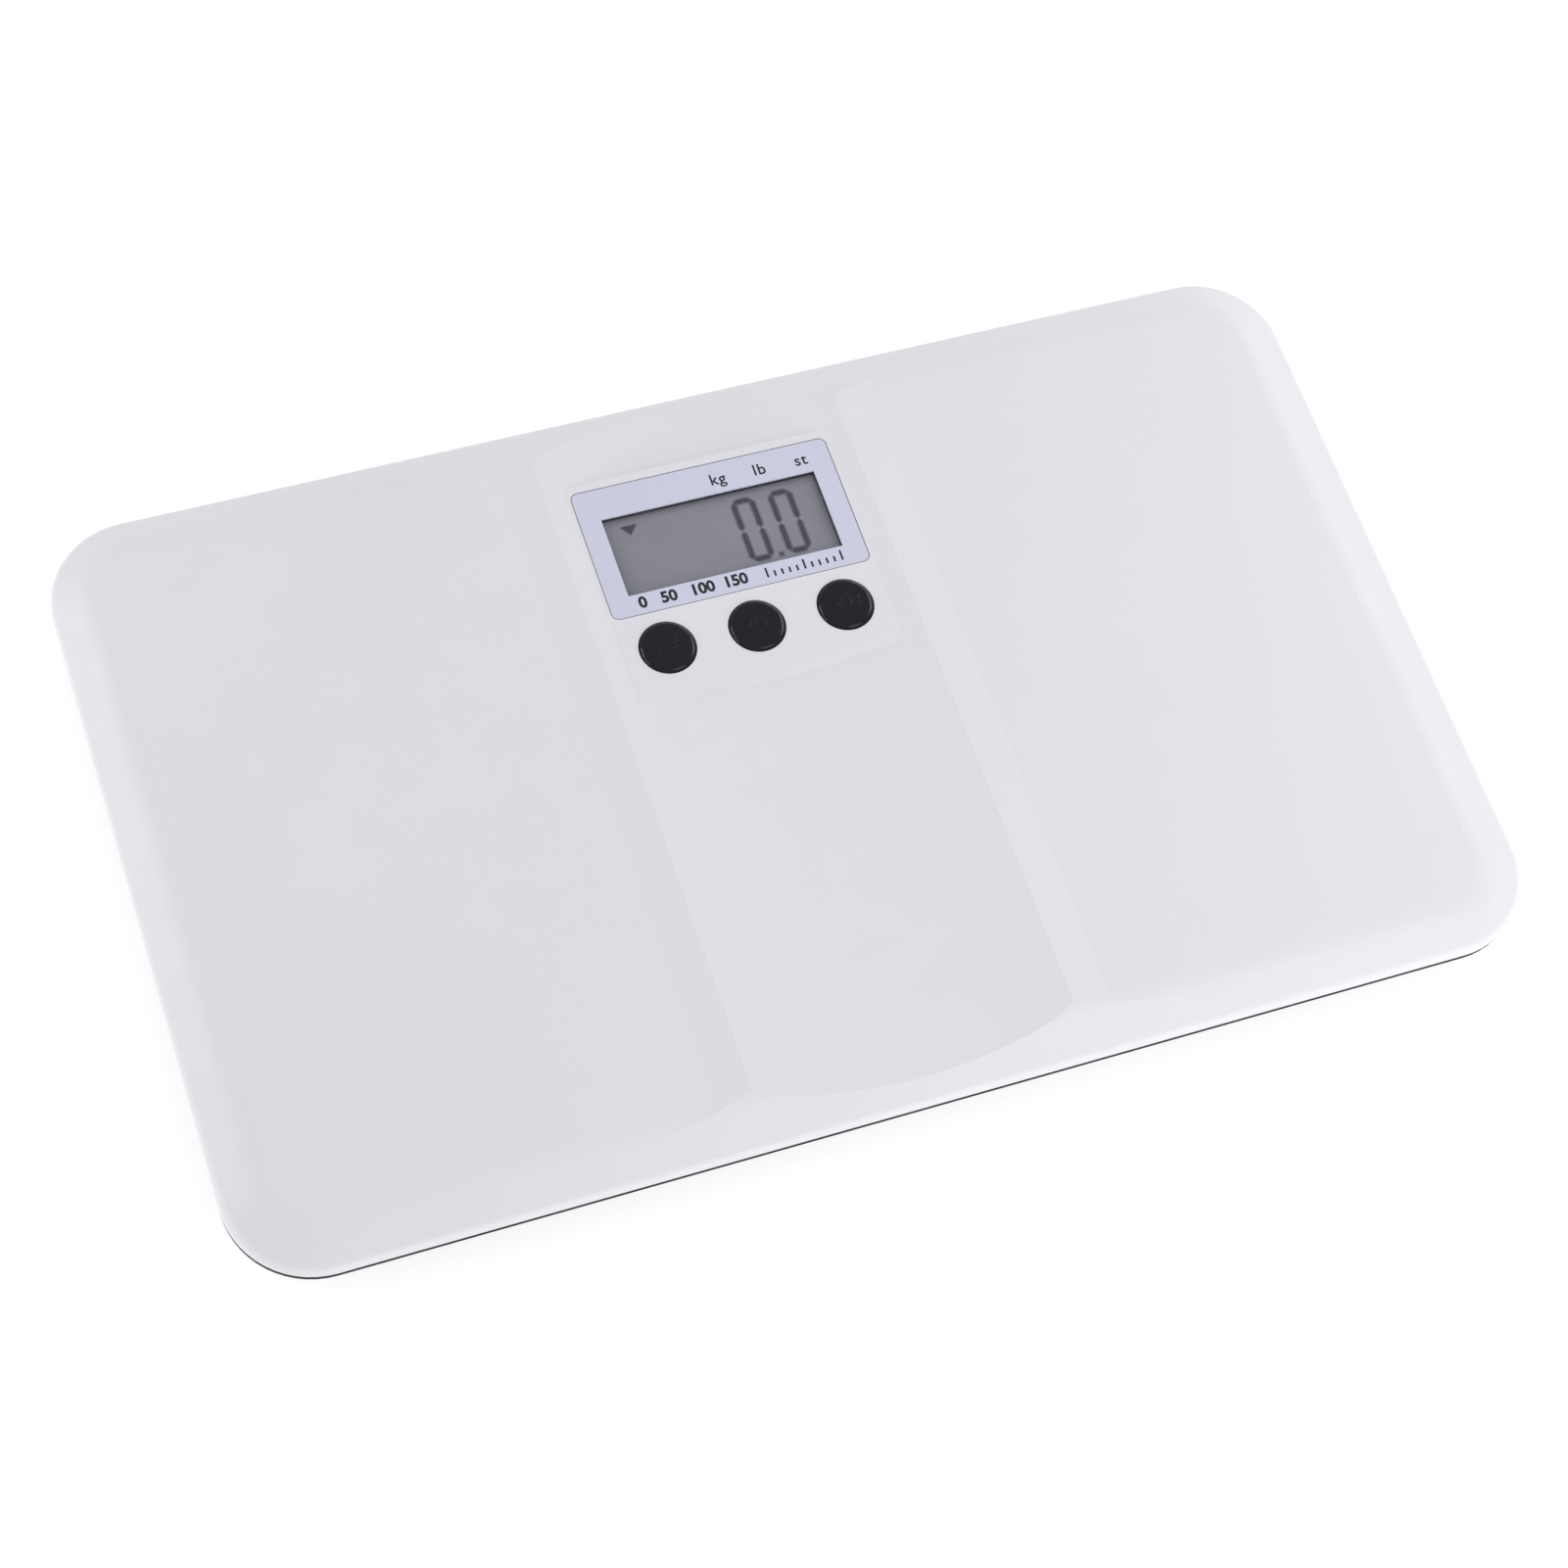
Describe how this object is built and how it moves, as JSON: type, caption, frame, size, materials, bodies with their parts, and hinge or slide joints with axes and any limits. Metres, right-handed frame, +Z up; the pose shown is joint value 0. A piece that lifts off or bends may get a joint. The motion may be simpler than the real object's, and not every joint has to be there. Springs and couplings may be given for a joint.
{
  "type": "platform animal scale",
  "caption": "Low flat platform scale for weighing animals, with a bevelled white cover, a hollow centre band, a let-in display and press buttons, on four rubber feet.",
  "frame": {"origin": "on the floor under the centre of the platform", "axes": "+X to the right along the platform's length, +Y to the back, the display's side, +Z up"},
  "size_m": [0.53, 0.322, 0.0406],
  "materials": {
    "white_plastic": "smooth moulded, satin",
    "black_plastic": "fine moulded grain",
    "foot_plastic": "fine moulded grain",
    "pad_rubber": "matt",
    "rail_steel": "zinc plated",
    "cell_steel": "nickel plated spring steel",
    "screw_steel": "bright zinc",
    "lead_jacket": "soft cable jacket",
    "lead_red": "soft cable jacket",
    "lead_black": "soft cable jacket",
    "board_laminate": "solder mask",
    "chip_resin": "potting resin",
    "socket_plastic": "moulded nylon",
    "capacitor_can": "sleeved can",
    "lcd_glass": "grey reflective display",
    "clear_lens": "clear acrylic",
    "frame_plastic": "matt black",
    "strip_rubber": "layered silicone",
    "bezel_print": "back-printed film, satin",
    "button_gloss": "polished",
    "dome_silicone": "translucent silicone",
    "battery_sleeve": "plain printed sleeve",
    "contact_metal": "nickel plated"
  },
  "bodies": {
    "scale": {"base_tray": "black_plastic", "battery_front": "battery_sleeve", "battery_lead_negative": "lead_black", "battery_lead_positive": "lead_red", "battery_rear": "battery_sleeve", "bezel_panel": "bezel_print", "board_screws": "screw_steel", "capacitors": "capacitor_can", "contact_link": "contact_metal", "contact_negative": "contact_metal", "contact_positive": "contact_metal", "control_chip": "chip_resin", "cover_screws": "screw_steel", "display_lens": "clear_lens", "dome_left": "dome_silicone", "dome_middle": "dome_silicone", "dome_right": "dome_silicone", "foot_cup_front_left": "foot_plastic", "foot_cup_front_right": "foot_plastic", "foot_cup_rear_left": "foot_plastic", "foot_cup_rear_right": "foot_plastic", "foot_pad_front_left": "pad_rubber", "foot_pad_front_right": "pad_rubber", "foot_pad_rear_left": "pad_rubber", "foot_pad_rear_right": "pad_rubber", "front_rail": "rail_steel", "lcd_cell": "lcd_glass", "lcd_frame": "frame_plastic", "lead_sockets": "socket_plastic", "load_cell_front_left": "cell_steel", "load_cell_front_right": "cell_steel", "load_cell_lead_front_left": "lead_jacket", "load_cell_lead_front_right": "lead_jacket", "load_cell_lead_rear_left": "lead_jacket", "load_cell_lead_rear_right": "lead_jacket", "load_cell_rear_left": "cell_steel", "load_cell_rear_right": "cell_steel", "load_cell_screws": "screw_steel", "main_board": "board_laminate", "rear_rail": "rail_steel", "top_cover": "white_plastic", "zebra_strip": "strip_rubber"},
    "key_left": {"button_left": "button_gloss"},
    "key_middle": {"button_middle": "button_gloss"},
    "key_right": {"button_right": "button_gloss"},
    "door": {"battery_door": "black_plastic"}
  },
  "joints": [
    {"name": "key_left_press", "type": "slide", "parent": "scale", "child": "key_left", "axis": [0, 0, -1], "range_m": [0, 0.0008], "stiffness_N_per_m": 1500, "springref_m": -0.0003, "deforming": ["dome_left"]},
    {"name": "key_middle_press", "type": "slide", "parent": "scale", "child": "key_middle", "axis": [0, 0, -1], "range_m": [0, 0.0008], "stiffness_N_per_m": 1500, "springref_m": -0.0003, "deforming": ["dome_middle"]},
    {"name": "key_right_press", "type": "slide", "parent": "scale", "child": "key_right", "axis": [0, 0, -1], "range_m": [0, 0.0008], "stiffness_N_per_m": 1500, "springref_m": -0.0003, "deforming": ["dome_right"]},
    {"name": "battery_door_hinge", "type": "hinge", "parent": "scale", "child": "door", "pos_m": [0, -0.03485, 0.0093], "axis": [1, 0, 0], "range_deg": [0, 95]}
  ]
}
